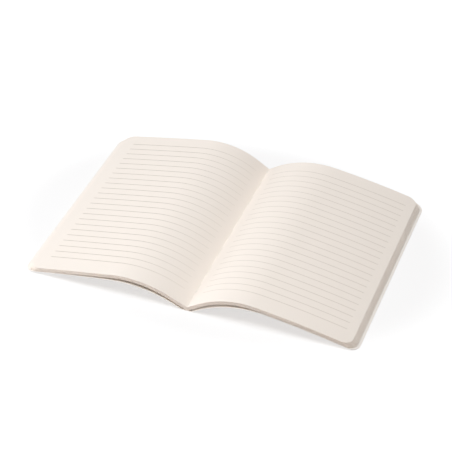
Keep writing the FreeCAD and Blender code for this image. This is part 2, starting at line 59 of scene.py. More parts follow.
MM = 0.001
DEG = math.pi / 180
FOLD_LOW, FOLD_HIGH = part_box("cover_spine")
BLOCK_LOW, BLOCK_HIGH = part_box("page_block")
THREAD_LOW, THREAD_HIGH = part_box("binding_thread")
FRONT_REACH = -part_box("front_cover")[0].x
# Keeps a piece inside the solid that it stands for, and the floor clear of the notepad.
CLEAR = 0.02 * MM
WHITE = (1, 1, 1, 1)
# The sign of a half's X, and its name in the sizes.
HALVES = ((-1, "left"), (1, "right"))
ENDS = ("tail", "head")


# --- sizes and colours ---------------------------------------------------------------------------


def length(name, description, default):
    """A length in metres."""
    return FloatProperty(
        name=name, description=description, default=default, unit="LENGTH", precision=5
    )


def pair(name, description, default, unit):
    """Two values: at the tail and the head, between which they change evenly, or left and right."""
    return FloatVectorProperty(
        name=name, description=description, default=default, size=2, unit=unit, precision=5
    )


def colour(name, description, default):
    """A colour that is kept as sRGB, as it is written."""
    return FloatVectorProperty(
        name=name,
        description=description,
        default=srgb(default),
        size=3,
        subtype="COLOR_GAMMA",
        min=0,
        max=1,
    )


def srgb(hex_code):
    """The three parts of a hex colour, from 0 to 1."""
    return tuple(int(hex_code[i : i + 2], 16) / 255 for i in (1, 3, 5))


def linear(value):
    """An sRGB colour as the linear one that shaders take, with an alpha of 1."""
    parts = [c / 12.92 if c <= 0.04045 else ((c + 0.055) / 1.055) ** 2.4 for c in value]
    return (*parts, 1)


class PageSizes(bpy.types.PropertyGroup):
    """The folded sheets, and the lines that they take on each half."""

    sheets: IntProperty(name="Sheets", description="Nested folded sheets", default=31, min=2)
    height: length("Height", "From tail to head", BLOCK_HIGH.y - BLOCK_LOW.y)
    corner: length("Corner radius", "Round corners at the fore-edge", 9 * MM)
    thick: length("Thickness", "All sheets of one half, pressed together", 3.15 * MM)
    gutter: length("Gutter height", "Top of the centre sheet at the fold", 3.65 * MM)
    air: FloatProperty(
        name="Air",
        description="Share of each sheet's space that is air",
        default=0.12,
        subtype="FACTOR",
        min=0,
        max=1,
    )
    edge_slope: FloatProperty(
        name="Fore-edge slope",
        description="Slope of the stepped fore-edge",
        default=46.5 * DEG,
        unit="ROTATION",
    )
    left_reach: pair("Left reach", "Level reach", (139.2 * MM, 137.7 * MM), "LENGTH")
    left_end: pair("Left end", "Height of the fore-edge", (5.07 * MM, 5.24 * MM), "LENGTH")
    left_rise: pair("Left rise", "Slope at the gutter", (25 * DEG, 32.5 * DEG), "ROTATION")
    left_run: pair("Left run", "Straight rise", (17 * MM, 12 * MM), "LENGTH")
    left_crest: pair("Left crest", "Slope after the crown", (9.5 * DEG, 10 * DEG), "ROTATION")
    left_landing: pair(
        "Left landing", "Slope at the fore-edge", (10.5 * DEG, 11.8 * DEG), "ROTATION"
    )
    right_reach: pair("Right reach", "Level reach", (137.8 * MM, 137.8 * MM), "LENGTH")
    right_end: pair("Right end", "Height of the fore-edge", (5.51 * MM, 5.51 * MM), "LENGTH")
    right_rise: pair("Right rise", "Slope at the gutter", (32 * DEG, 34 * DEG), "ROTATION")
    right_run: pair("Right run", "Straight rise", (13 * MM, 7 * MM), "LENGTH")
    right_crest: pair(
        "Right crest", "Slope after the crown", (7.5 * DEG, 8 * DEG), "ROTATION"
    )
    right_landing: pair(
        "Right landing", "Slope at the fore-edge", (13.65 * DEG, 13.65 * DEG), "ROTATION"
    )
    paper: colour("Paper", "Cream writing paper", "#FAEEE3")
    paper_edge: colour("Cut edge", "The trimmed edges of the sheets", "#E8D9CC")


class RulingSizes(bpy.types.PropertyGroup):
    """The printed lines of the centre spread. Pairs are for the left and the right page."""

    lines: IntProperty(name="Lines", description="Lines on each page", default=23)
    pitch: length("Pitch", "From one line to the next", 8.14 * MM)
    first: pair("First line", "Its height above the middle", (-87.7 * MM, -88.3 * MM), "LENGTH")
    width: length("Line width", "Width of a printed line", 0.4 * MM)
    inner_margin: pair("Inner margin", "From the gutter to a line", (9.5 * MM, 9 * MM), "LENGTH")
    outer_margin: pair("Outer margin", "From a line to the fore-edge", (12 * MM, 8 * MM), "LENGTH")
    ink: colour("Ink", "Thin grey-brown printing ink", "#AE9D8B")
    strength_in: pair("Inner strength", "Ink by the fold", (0.25, 0.5), "NONE")
    strength_out: pair("Outer strength", "Ink at the margin", (1, 0.7), "NONE")


class CoverSizes(bpy.types.PropertyGroup):
    """The card cover: two halves and the strip under the fold."""

    thick: length("Thickness", "The card", FOLD_HIGH.z - FOLD_LOW.z)
    hinge: length("Hinge", "From the fold's middle to a half's hinge line", 4.1 * MM)
    corner: length("Corner radius", "Round corners at the fore-edge", 9 * MM)
    front_reach: pair("Front reach", "Level reach", (144.8 * MM, 143.42 * MM), "LENGTH")
    front_rise: pair("Front rise", "Slope at the crease", (24 * DEG, 33 * DEG), "ROTATION")
    front_run: pair("Front run", "Straight rise", (8.5 * MM, 3 * MM), "LENGTH")
    front_crest: pair(
        "Front crest", "Slope after the crown", (7.5 * DEG, 7 * DEG), "ROTATION"
    )
    front_landing: pair(
        "Front landing", "Slope at the fore-edge", (10.5 * DEG, 11.8 * DEG), "ROTATION"
    )
    back_reach: pair("Back reach", "Level reach", (143.79 * MM, 143.79 * MM), "LENGTH")
    back_rise: pair("Back rise", "Slope at the crease", (32 * DEG, 32 * DEG), "ROTATION")
    back_run: pair("Back run", "Straight rise", (5 * MM, 5 * MM), "LENGTH")
    back_crest: pair(
        "Back crest", "Slope after the crown", (8.3 * DEG, 8.3 * DEG), "ROTATION"
    )
    back_landing: pair(
        "Back landing", "Slope at the fore-edge", (13.65 * DEG, 13.65 * DEG), "ROTATION"
    )
    card: colour("Card", "Pale uncoated cover card", "#FAF1E8")


class ThreadSizes(bpy.types.PropertyGroup):
    """The sewing along the fold."""

    pairs: IntProperty(name="Pairs", description="Stitches inside and outside", default=8)
    radius: length("Radius", "Half the thread's thickness", (THREAD_HIGH.x - THREAD_LOW.x) / 2)
    twist: length("Twist", "Length of one turn of the plies", 1.6 * MM)
    inner: length("Inner stitch", "Height of the stitches in the gutter", 3.78 * MM)
    outer: length("Outer stitch", "Height of the stitches under the fold", 0.75 * MM)
    thread: colour("Thread", "Cream spun sewing thread", "#EFE7DB")


class StageSizes(bpy.types.PropertyGroup):
    """The camera, the floor and the light."""

    azimuth: FloatProperty(
        name="Azimuth", description="Camera to the right", default=18.632 * DEG, unit="ROTATION"
    )
    elevation: FloatProperty(
        name="Elevation", description="Camera above", default=36.742 * DEG, unit="ROTATION"
    )
    roll: FloatProperty(
        name="Roll", description="Camera's lean", default=1.685 * DEG, unit="ROTATION"
    )
    distance: length("Distance", "Camera to target", 1.5192)
    target: FloatVectorProperty(
        name="Target",
        description="Where the camera looks",
        default=(-9.022 * MM, 14.761 * MM, 0),
        subtype="TRANSLATION",
        unit="LENGTH",
    )
    lens: FloatProperty(
        name="Lens", description="In millimetres, on a 36 mm film", default=140.19, unit="CAMERA"
    )
    floor: colour("Floor", "Seamless white studio paper, as it lights the notepad", "#F4F4F4")
    floor_seen: colour("Floor seen", "The part that takes shadows when seen", "#9E9E9E")
    # Dimmer than white: near the notepad this glow paints a faint wide shadow round it.
    floor_glow_painted_shadow: colour("Floor glow", "Added to it near the notepad; far off it is white", "#D2D0CF")
    sky: FloatProperty(name="Sky", description="Even light from all round", default=0.06)
    key: FloatProperty(
        name="Key", description="Softbox above on the left, in watts", default=24.8, unit="POWER"
    )
    key_colour: colour("Key colour", "A little cool", "#EBF5FF")
    fill: FloatProperty(
        name="Fill", description="Softbox above in front, in watts", default=6.0, unit="POWER"
    )
    fill_colour: colour("Fill colour", "A little warm", "#FFE8C4")
    strip: FloatProperty(
        name="Strip", description="Low strip light, in watts", default=1.95, unit="POWER"
    )
    strip_colour: colour("Strip colour", "Near neutral", "#F8FAFF")


# --- curves and surfaces -------------------------------------------------------------------------


def arch_line(start, reach, end, rise, run, crest, landing):
    """One half's line: its length, and its level and upright place and its fall at a distance s.

    The line rises straight at slope rise for a length run, bends over a crown arc until it falls at
    slope crest, and goes on along a wide arc until it falls at slope landing at the reach. The two
    radii make the line end at the reach, and at the height end. They solve
        level = crown (sin(rise) + sin(crest)) + wide (sin(landing) - sin(crest))
        upright = crown (cos(crest) - cos(rise)) + wide (cos(landing) - cos(crest))
    where level and upright are what the straight rise leaves of the way.
    """
    level = reach - start[0] - run * math.cos(rise)
    upright = end - start[1] - run * math.sin(rise)
    a, b = math.sin(rise) + math.sin(crest), math.sin(landing) - math.sin(crest)
    c, d = math.cos(crest) - math.cos(rise), math.cos(landing) - math.cos(crest)
    crown, wide = np.linalg.solve([[a, b], [c, d]], [level, upright])
    total = run + crown * (rise + crest) + wide * (landing - crest)

    def at(s):
        """The straight rise's part of s, and what each arc adds as the slope turns along it."""
        straight = np.minimum(s, run)
        turn = np.clip(-rise + (s - run) / crown, -rise, crest)
        late = np.maximum(crest + (s - run - crown * (rise + crest)) / wide, crest)
        x = straight * math.cos(rise) + crown * (np.sin(turn) + math.sin(rise))
        z = straight * math.sin(rise) + crown * (np.cos(turn) - math.cos(rise))
        x = x + wide * (np.sin(late) - math.sin(crest)) + start[0]
        z = z + wide * (np.cos(late) - math.cos(crest)) + start[1]
        return x, z, np.where(late > crest, late, turn)

    return total, at


def corner_depth(from_edge, corner):
    """How far a rounded corner draws the tail and head in, at a distance from the fore-edge.

    It is the radius minus the chord's height of a quarter circle, and nothing beyond the radius.
    """
    inside = np.clip(corner - from_edge, 0, corner)
    return corner - np.sqrt(corner**2 - inside**2)


def spread_from_edge(end, corner, steps, bends):
    """Distances along a half from the fold to its end, close together where the corner is round.

    They are evenly spaced up to the corner, and then go by the radius times the sine of an angle
    that grows evenly.
    """
    plain = np.linspace(0, end - corner, steps)
    bent = end - corner + corner * np.sin(np.linspace(0, math.pi / 2, bends + 1)[1:])
    return np.concatenate([plain, bent])


def between(tail, head, rows):
    """Straight lines from each point of the tail's line to the same point of the head's line.

    A row, from -1 to 1, is the sum of both points, each times its share of the way from the other.
    """
    share = (rows[:, None] + 1) / 2
    return (1 - share) * tail[None, :] + share * head[None, :]


def shell(top, bottom):
    """Corners and faces of a closed slab from two grids of points, rows by columns.

    Rows run from the tail to the head and columns from left to right, so the top's faces turn
    anticlockwise seen from above, the bottom's the other way, and four strips close the sides.
    Returns the corners, the faces and which faces are sides.
    """
    rows, columns = top.shape[:2]
    number = np.arange(rows * columns).reshape(rows, columns)
    under = number + rows * columns
    a, b, c, d = number[:-1, :-1], number[:-1, 1:], number[1:, 1:], number[1:, :-1]
    upper = np.stack([a, b, c, d], -1).reshape(-1, 4)
    lower = (np.stack([a, d, c, b], -1) + rows * columns).reshape(-1, 4)
    sides = []
    for edge, low, forward in (
        (number[0], under[0], True),
        (number[-1], under[-1], False),
        (number[:, 0], under[:, 0], False),
        (number[:, -1], under[:, -1], True),
    ):
        order = (low[:-1], low[1:], edge[1:], edge[:-1])
        if not forward:
            order = order[::-1]
        sides.append(np.stack(order, -1))
    faces = np.concatenate([upper, lower, *sides])
    is_side = np.arange(len(faces)) >= len(upper) + len(lower)
    return np.concatenate([top.reshape(-1, 3), bottom.reshape(-1, 3)]), faces, is_side


def make_piece(name, corners, faces, materials, indices=None, crease=40 * DEG):
    """A mesh object from arrays, smooth but for the edges that turn more than the crease angle.

    It sits at the origin, with its place in its mesh. faces holds one array for each number of
    corners that a face has, and indices picks each face's material.
    """
    counts = np.concatenate([np.full(len(group), group.shape[1]) for group in faces])
    loops = np.concatenate([group.ravel() for group in faces])
    starts = np.append(0, np.cumsum(counts)[:-1])
    mesh = bpy.data.meshes.new(name)
    mesh.vertices.add(len(corners))
    mesh.vertices.foreach_set("co", np.asarray(corners, np.float32).ravel())
    mesh.loops.add(len(loops))
    mesh.loops.foreach_set("vertex_index", loops.astype(np.int32))
    mesh.polygons.add(len(counts))
    mesh.polygons.foreach_set("loop_start", starts.astype(np.int32))
    if indices is not None:
        mesh.polygons.foreach_set("material_index", np.asarray(indices, np.int32))
    mesh.polygons.foreach_set("use_smooth", np.ones(len(counts), bool))
    for material in materials:
        mesh.materials.append(material)
    mesh.update(calc_edges=True)
    mesh.validate()
    mesh.set_sharp_from_angle(angle=crease)
    piece = bpy.data.objects.new(name, mesh)
    bpy.context.scene.collection.objects.link(piece)
    return piece


def store_values(piece, name, values):
    """Keeps one number, or three, for each corner of the mesh."""
    values = np.asarray(values, np.float32)
    kind, key = ("FLOAT", "value") if values.ndim == 1 else ("FLOAT_VECTOR", "vector")
    piece.data.attributes.new(name, kind, "POINT").data.foreach_set(key, values.ravel())


# --- the sheets ----------------------------------------------------------------------------------

# How finely a sheet is divided: rows from tail to head, steps along each half up to its corners,
# bends round each corner, and folds round the gutter. Of the nested sheets only the edges are seen.
CENTRE_MESH = {"rows": 61, "steps": 90, "bends": 14, "folds": 3}
NESTED_MESH = {"rows": 9, "steps": 46, "bends": 8, "folds": 5}
# How far a nested sheet's left end, right end and height stray from where they should be.
STRAY = (0.07 * MM, 0.07 * MM, 0.05 * MM)


def page_lines(sizes):
    """The centre sheet's line on each side, at the tail and at the head."""
    lines = {}
    for side, word in HALVES:
        names = ("reach", "end", "rise", "run", "crest", "landing")
        for at, end in enumerate(ENDS):
            values = [getattr(sizes, f"{word}_{name}")[at] for name in names]
            lines[side, end] = arch_line((0, sizes.gutter), *values)
    return lines


def sheet_section(lines, sizes, end, stations, inset, folds):
    """One sheet's line at the tail or the head, from the left fore-edge to the right one.

    Each half is the centre sheet's line moved square to itself by inset. Between the halves the
    sheet turns round the gutter on an arc whose radius is inset.
    """
    parts = []
    for side, s in ((-1, stations[0][::-1]), (1, stations[1])):
        x, z, fall = lines[side, end][1](s)
        parts.append((side * (x - inset * np.sin(fall)), z - inset * np.cos(fall)))
    at = ENDS.index(end)
    turn = np.linspace(-sizes.left_rise[at], sizes.right_rise[at], folds + 2)[1:-1]
    fold = (inset * np.sin(turn), sizes.gutter - inset * np.cos(turn))
    return tuple(np.concatenate([parts[0][k], fold[k], parts[1][k]]) for k in (0, 1))


def sheet_grids(lines, sizes, inset, thick, rows, steps, bends, folds, shift=(0, 0, 0)):
    """The upper and lower faces of one sheet, and each point's flat place on the sheet.

    Every sheet ends on the sloping fore-edge: a sheet that lies inset deeper reaches
    inset / tan(slope - landing) further. shift moves its left end, right end and height a little.
    """
    rows = np.linspace(-1, 1, rows)
    stations, flat_x = {}, {}
    for at, end in enumerate(ENDS):
        halves = []
        for number, (side, word) in enumerate(HALVES):
            landing = getattr(sizes, f"{word}_landing")[at]
            reach = lines[side, end][0] + inset / math.tan(sizes.edge_slope - landing)
            halves.append(spread_from_edge(reach + shift[number], sizes.corner, steps, bends))
        stations[end] = halves
        flat_x[end] = np.concatenate([-halves[0][::-1], np.zeros(folds), halves[1]])
    left, right = stations["tail"]
    from_edge = np.concatenate(
        [left[-1] - left[::-1], np.full(folds, sizes.corner), right[-1] - right]
    )
    half = sizes.height / 2 - corner_depth(from_edge, sizes.corner) + shift[2]
    y = rows[:, None] * half[None, :]
    grids = []
    for depth in (inset, inset + thick):
        tail, head = (
            sheet_section(lines, sizes, end, stations[end], depth, folds) for end in ENDS
        )
        x, z = (between(tail[k], head[k], rows) for k in (0, 1))
        grids.append(np.stack([x, y, z], -1))
    return grids[0], grids[1], np.stack([between(flat_x["tail"], flat_x["head"], rows), y], -1)


def ruling_values(pages, ruling, flat):
    """Three numbers for each point of the centre sheet, which its printed lines are drawn from.

    They are its place counted in lines from the first one, how far it lies inside the nearer end of
    the lines, and the strength of the ink, which grows evenly from the inner margin to about the
    page's middle.
    """
    out, page = np.abs(flat[..., 0]), (flat[..., 0] > 0).astype(int)
    lines = page_lines(pages)
    ends = np.array([lines[side, "tail"][0] for side, _ in HALVES]) - ruling.outer_margin
    inside = np.minimum(out - np.array(ruling.inner_margin)[page], ends[page] - out)
    row = (flat[..., 1] - np.array(ruling.first)[page]) / ruling.pitch
    near, far = min(ruling.inner_margin), 0.55 * min(ends)
    along = np.clip((out - near) / (far - near), 0, 1)
    low, high = np.array(ruling.strength_in)[page], np.array(ruling.strength_out)[page]
    return np.stack([row, inside, low + along * (high - low)], -1)


class NOTEPAD_OT_centre_sheet(bpy.types.Operator):
    """Makes the centre sheet, whose two pages are seen"""

    bl_idname = "notepad.centre_sheet"
    bl_label = "Centre sheet"

    def execute(self, context):
        sizes = context.scene.notepad_pages
        thick = sizes.thick / sizes.sheets * (1 - sizes.air)
        top, bottom, flat = sheet_grids(page_lines(sizes), sizes, CLEAR, thick, **CENTRE_MESH)
        corners, faces, sides = shell(top, bottom)
        piece = make_piece(
            "centre_sheet", corners, [faces], [ruled_paper(context), cut_edge(context)], sides
        )
        printed = ruling_values(sizes, context.scene.notepad_ruling, flat).reshape(-1, 3)
        store_values(piece, "ruling", np.concatenate([printed, printed]))
        finish_piece(piece, "pages", "page_block")
        return {"FINISHED"}


class NOTEPAD_OT_nested_sheets(bpy.types.Operator):
    """Makes the other sheets, each folded round the one above it"""

    bl_idname = "notepad.nested_sheets"
    bl_label = "Nested sheets"

    def execute(self, context):
        sizes = context.scene.notepad_pages
        lines = page_lines(sizes)
        pitch = sizes.thick / sizes.sheets
        chance = np.random.default_rng(seed=7)
        all_corners, all_faces, all_sides, tones = [], [], [], []
        count = 0
        for number in range(1, sizes.sheets):
            shift = chance.normal(0, 1, 3) * STRAY
            shift[2] = -abs(shift[2])
            # A sheet has from half to one and a half times the usual air.
            air = sizes.air * (0.5 + chance.random())
            top, bottom, _ = sheet_grids(
                lines, sizes, number * pitch, pitch * (1 - air), **NESTED_MESH, shift=shift
            )
            corners, faces, sides = shell(top, bottom)
            all_corners.append(corners)
            all_faces.append(faces + count)
            all_sides.append(sides)
            tones.append(np.full(len(corners), chance.random()))
            count += len(corners)
        piece = make_piece(
            "nested_sheets",
            np.concatenate(all_corners),
            [np.concatenate(all_faces)],
            [plain_paper(context), cut_edge(context)],
            np.concatenate(all_sides),
        )
        store_values(piece, "sheet_tone", np.concatenate(tones))
        finish_piece(piece, "pages", "page_block")
        return {"FINISHED"}


# --- the cover -----------------------------------------------------------------------------------

# How finely a half of the cover is divided, as for the sheets, with bends round its nose.
COVER_MESH = {"rows": 41, "steps": 60, "bends": 12, "nose_bends": 7}
# The upper and lower face stop just short of each other at the nose, where a strip closes them.
NOSE_SHARE = 0.98


def cover_half(sizes, side, word):
    """The upper and lower faces of one half of the cover.

    The lower face follows the half's line and the upper face lies a thickness above it, square to
    it. At the crease the card ends in a half circle about the hinge, its nose: at an angle turn, a
    point lies nose sin(turn) along the rise from the hinge and nose cos(turn) square to it.
    """
    nose = sizes.thick / 2
    rows = np.linspace(-1, 1, COVER_MESH["rows"])
    names = ("reach", "rise", "run", "crest", "landing")
    lines = []
    for at in (0, 1):
        reach, rise, run, crest, landing = (getattr(sizes, f"{word}_{name}")[at] for name in names)
        start = (sizes.hinge + nose * math.sin(rise), nose - nose * math.cos(rise))
        lines.append((*arch_line(start, reach, 0, rise, run, crest, landing), rise))
    turn = np.linspace(-NOSE_SHARE, 0, COVER_MESH["nose_bends"])[:-1] * math.pi / 2
    steps, bends = COVER_MESH["steps"], COVER_MESH["bends"]
    stations = [spread_from_edge(line[0], sizes.corner, steps, bends) for line in lines]
    grids = []
    for lift in (1, 0):
        ends = []
        for (_, line, rise), s in zip(lines, stations):
            along, above = nose * np.sin(turn), (2 * lift - 1) * nose * np.cos(turn)
            nose_x = sizes.hinge + along * math.cos(rise) - above * math.sin(rise)
            nose_z = nose + along * math.sin(rise) + above * math.cos(rise)
            x, z, fall = line(s)
            x, z = x + lift * sizes.thick * np.sin(fall), z + lift * sizes.thick * np.cos(fall)
            ends.append((np.append(nose_x, x), np.append(nose_z, z)))
        grids.append([between(ends[0][k], ends[1][k], rows) for k in (0, 1)])
    from_edge = np.append(np.full(len(turn), sizes.corner), lines[0][0] - stations[0])
    half = (BLOCK_HIGH.y - BLOCK_LOW.y) / 2 - CLEAR - corner_depth(from_edge, sizes.corner)
    y = rows[:, None] * half[None, :]
    # A left half is worked out as a right one and mirrored, so its columns are turned round.
    return tuple(np.stack([side * x, y, z], -1)[:, ::side] for x, z in grids)


class NOTEPAD_OT_cover(bpy.types.Operator):
    """Makes both halves of the card cover, and gives the strip under the fold the same card"""

    bl_idname = "notepad.cover"
    bl_label = "Card cover"

    def execute(self, context):
        sizes = context.scene.notepad_cover
        card = cover_card(context)
        for side, word, body in ((-1, "front", "front_board"), (1, "back", "back_board")):
            corners, faces, _ = shell(*cover_half(sizes, side, word))
            piece = make_piece(f"{word}_card", corners, [faces], [card])
            finish_piece(piece, body, f"{word}_cover")
        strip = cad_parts["cover_spine"]
        for slot in strip.material_slots:
            slot.material = card
        return {"FINISHED"}


# --- the sewing ----------------------------------------------------------------------------------

# The distance between the thread's rings, the corners of a ring, and the rings whose mean rounds a
# turn of the thread.
RING_SPACING = 0.14 * MM
RING_CORNERS = 15
ROUNDING = 5
# The thread's plies, and the share of its radius that is missing where two of them meet.
PLIES = 3
DIP = 0.2


def stitch_path(sizes, height):
    """Points along the thread: inner stitch, hole, outer stitch, hole, over and over.

    A hole is a quarter of a pair's length from the pair's start and from its end. The straight legs
    are walked at an even spacing, and a running mean rounds the turns.
    """
    apart, inner, outer = height / sizes.pairs, sizes.inner, sizes.outer
    turns = [(0, inner), (0.25, inner), (0.25, outer), (0.75, outer), (0.75, inner)]
    starts = np.arange(sizes.pairs)[:, None, None] * np.array([apart, 0])
    points = (np.array(turns) * (apart, 1) + starts).reshape(-1, 2)
    points = np.vstack([points, [height, inner]]) - [height / 2, 0]
    walked = np.append(0, np.cumsum(np.hypot(*np.diff(points, axis=0).T)))
    even = np.linspace(0, walked[-1], int(walked[-1] / RING_SPACING))
    y, z = (np.interp(even, walked, points[:, k]) for k in (0, 1))
    mean, end = np.ones(ROUNDING) / ROUNDING, ROUNDING // 2
    y[end:-end], z[end:-end] = np.convolve(y, mean, "valid"), np.convolve(z, mean, "valid")
    return even, y, z


def thread_rings(sizes, walked, y, z):
    """The thread's corners, a ring of them for each point of its path.

    A ring stands square to the path: each corner lies the radius times the angle's cosine across it
    and the radius times its sine above it. The radius follows the size of the cosine of half the
    plies times the angle, counted from a line that turns once round the thread in each length of
    twist, so that it dips between the plies.
    """
    lean = np.arctan2(np.gradient(z), np.gradient(y))[:, None]
    around = np.linspace(0, 2 * math.pi, RING_CORNERS, endpoint=False)
    phase = PLIES / 2 * (around[None, :] - 2 * math.pi * walked[:, None] / sizes.twist)
    radius = sizes.radius * (1 - DIP + DIP * np.abs(np.cos(phase)))
    across, up = radius * np.cos(around), radius * np.sin(around)
    return np.stack([across, y[:, None] - up * np.sin(lean), z[:, None] + up * np.cos(lean)], -1)


class NOTEPAD_OT_thread(bpy.types.Operator):
    """Makes the twisted thread that is sewn through the fold"""

    bl_idname = "notepad.thread"
    bl_label = "Sewing thread"

    def execute(self, context):
        sizes = context.scene.notepad_thread
        pages = context.scene.notepad_pages
        rings = thread_rings(sizes, *stitch_path(sizes, pages.height))
        number = np.arange(rings.size // 3).reshape(rings.shape[:2])
        following = np.roll(number, -1, axis=1)
        sides = np.stack([number[:-1], number[1:], following[1:], following[:-1]], -1)
        # Each end is closed by one face, whose corners run round the other way at the head.
        faces = [sides.reshape(-1, 4), number[:1], number[-1:, ::-1]]
        corners = rings.reshape(-1, 3)
        piece = make_piece("sewing_thread", corners, faces, [spun_thread(context)], crease=math.pi)
        finish_piece(piece, "pages", "binding_thread")
        return {"FINISHED"}


# --- materials -----------------------------------------------------------------------------------

# Real paper fibres are about 0.03 mm thick and cotton ones 0.02 mm, which is too fine to show, so
# the patterns of fibres below are drawn 7 to 40 times as coarse.


def add_node(tree, kind, inputs=(), **settings):
    """Adds one node with its settings. Its inputs, in order or by name, are values or outputs.

    A colour mix takes its share in input 0 and its colours in 6 and 7, and gives output 2.
    """
    node = tree.nodes.new(kind)
    for name, value in settings.items():
        setattr(node, name, value)
    for socket, value in inputs.items() if isinstance(inputs, dict) else enumerate(inputs):
        if isinstance(value, bpy.types.NodeSocket):
            tree.links.new(value, node.inputs[socket])
        else:
            node.inputs[socket].default_value = value
    return node


def new_material(name):
    """A material and its empty node tree."""
    material = bpy.data.materials.new(name)
    material.use_nodes = True
    material.node_tree.nodes.clear()
    return material, material.node_tree


def shaded(colour_value, factor):
    """A linear colour made lighter or darker by a factor."""
    return (*(min(c * factor, 1) for c in colour_value[:3]), 1)


def paper_surface(tree, colour_output, fibre, rough, bump):
    """Ends a paper or card material: uncoated and dull, with its fibres felt as a fine bump."""
    place = add_node(tree, "ShaderNodeTexCoord").outputs["Object"]
    grain = add_node(
        tree,
        "ShaderNodeTexNoise",
        {"Vector": place, "Scale": 1 / fibre, "Detail": 4, "Roughness": 0.6},
    )
    relief = add_node(
        tree,
        "ShaderNodeBump",
        {"Strength": bump, "Distance": 0.05 * MM, "Height": grain.outputs["Fac"]},
    )
    shader = add_node(
        tree,
        "ShaderNodeBsdfPrincipled",
        {
            "Base Color": colour_output,
            "Roughness": rough,
            "IOR": 1.5,
            "Specular IOR Level": 0.25,
            "Normal": relief.outputs["Normal"],
        },
    )
    add_node(tree, "ShaderNodeOutputMaterial", {"Surface": shader.outputs["BSDF"]})


def mottled(tree, base, cloud, fibre, cloud_share, fibre_share):
    """A colour's own unevenness: soft clouds of the given size and a finer fleck of fibres.

    The shares say how much darker the clouds and the fleck are. The noise lies mostly between 0.3
    and 0.7, and is spread from there over its whole range.
    """
    place = add_node(tree, "ShaderNodeTexCoord").outputs["Object"]
    output = base
    for size, share, detail in ((cloud, cloud_share, 2), (fibre, fibre_share, 3)):
        noise = add_node(
            tree, "ShaderNodeTexNoise", {"Vector": place, "Scale": 1 / size, "Detail": detail}
        )
        spread = add_node(
            tree,
            "ShaderNodeMapRange",
            {"Value": noise.outputs["Fac"], "From Min": 0.3, "From Max": 0.7},
        )
        darker = shaded(base, 1 - share)
        output = add_node(
            tree, "ShaderNodeMix", {0: spread.outputs[0], 6: output, 7: darker}, data_type="RGBA"
        ).outputs[2]
    return output


def writing_paper(tree, sizes):
    """The colour of cream uncoated paper, formed on a wire mesh: faint clouds a finger wide."""
    base = linear(sizes.paper)
    return mottled(tree, base, cloud=14 * MM, fibre=0.9 * MM, cloud_share=0.02, fibre_share=0.02)


def plain_paper(context):
    """Cream uncoated writing paper: matt all over, soft to the eye and never quite even."""
    material, tree = new_material("cream writing paper")
    output = writing_paper(tree, context.scene.notepad_pages)
    paper_surface(tree, output, fibre=0.5 * MM, rough=0.85, bump=0.15)
    return material


def cut_edge(context):
    """The guillotined edges of the sheets: rougher and a touch darker than their faces.

    Each sheet has a tone of its own, down to 0.86 of the palest, which lets the eye tell the sheets
    of the stack apart.
    """
    sizes = context.scene.notepad_pages
    material, tree = new_material("trimmed paper edge")
    base = linear(sizes.paper_edge)
    tone = add_node(tree, "ShaderNodeAttribute", attribute_name="sheet_tone").outputs["Fac"]
    output = add_node(
        tree, "ShaderNodeMix", {0: tone, 6: base, 7: shaded(base, 0.86)}, data_type="RGBA"
    ).outputs[2]
    paper_surface(tree, output, fibre=0.3 * MM, rough=0.9, bump=0.2)
    return material


def ruled_paper(context):
    """The same paper with printed lines, soaked in so that they are as matt as the paper.

    They follow the sheet's flat measure, so they bend with it. A real line is about 0.2 mm wide and
    darker: it is drawn wider and paler, so that it shows from afar.
    """
    ruling = context.scene.notepad_ruling
    material, tree = new_material("ruled writing paper")
    paper = writing_paper(tree, context.scene.notepad_pages)
    printed = add_node(tree, "ShaderNodeAttribute", attribute_name="ruling").outputs["Vector"]
    row, inside, strength = add_node(tree, "ShaderNodeSeparateXYZ", [printed]).outputs
    nearest = add_node(tree, "ShaderNodeMath", [row], operation="ROUND").outputs[0]
    nearest = add_node(tree, "ShaderNodeClamp", [nearest, 0, ruling.lines - 1]).outputs[0]
    away = add_node(tree, "ShaderNodeMath", [row, nearest], operation="SUBTRACT").outputs[0]
    away = add_node(tree, "ShaderNodeMath", [away], operation="ABSOLUTE").outputs[0]
    # A line's sides are soft over 0.4 of its half width each way, and its ends over 0.4 mm.
    half, side, end = ruling.width / 2 / ruling.pitch, 0.4, 0.4 * MM
    dark, pale = (1 - side) * half, (1 + side) * half
    line = add_node(
        tree,
        "ShaderNodeMapRange",
        {"Value": away, "From Min": dark, "From Max": pale, "To Min": 1, "To Max": 0},
        interpolation_type="SMOOTHSTEP",
    ).outputs[0]
    ends = add_node(
        tree, "ShaderNodeMapRange", {"Value": inside, "From Min": -end, "From Max": end}
    ).outputs[0]
    ink = add_node(tree, "ShaderNodeMath", [line, ends], operation="MULTIPLY").outputs[0]
    ink = add_node(tree, "ShaderNodeMath", [ink, strength], operation="MULTIPLY").outputs[0]
    output = add_node(
        tree, "ShaderNodeMix", {0: ink, 6: paper, 7: linear(ruling.ink)}, data_type="RGBA"
    ).outputs[2]
    paper_surface(tree, output, fibre=0.5 * MM, rough=0.85, bump=0.15)
    return material


def cover_card(context):
    """Uncoated cover card, pressed from layers of pulp: coarser and more flecked than paper."""
    material, tree = new_material("uncoated cover card")
    base = linear(context.scene.notepad_cover.card)
    output = mottled(tree, base, cloud=9 * MM, fibre=1.2 * MM, cloud_share=0.04, fibre_share=0.04)
    paper_surface(tree, output, fibre=0.8 * MM, rough=0.88, bump=0.3)
    return material


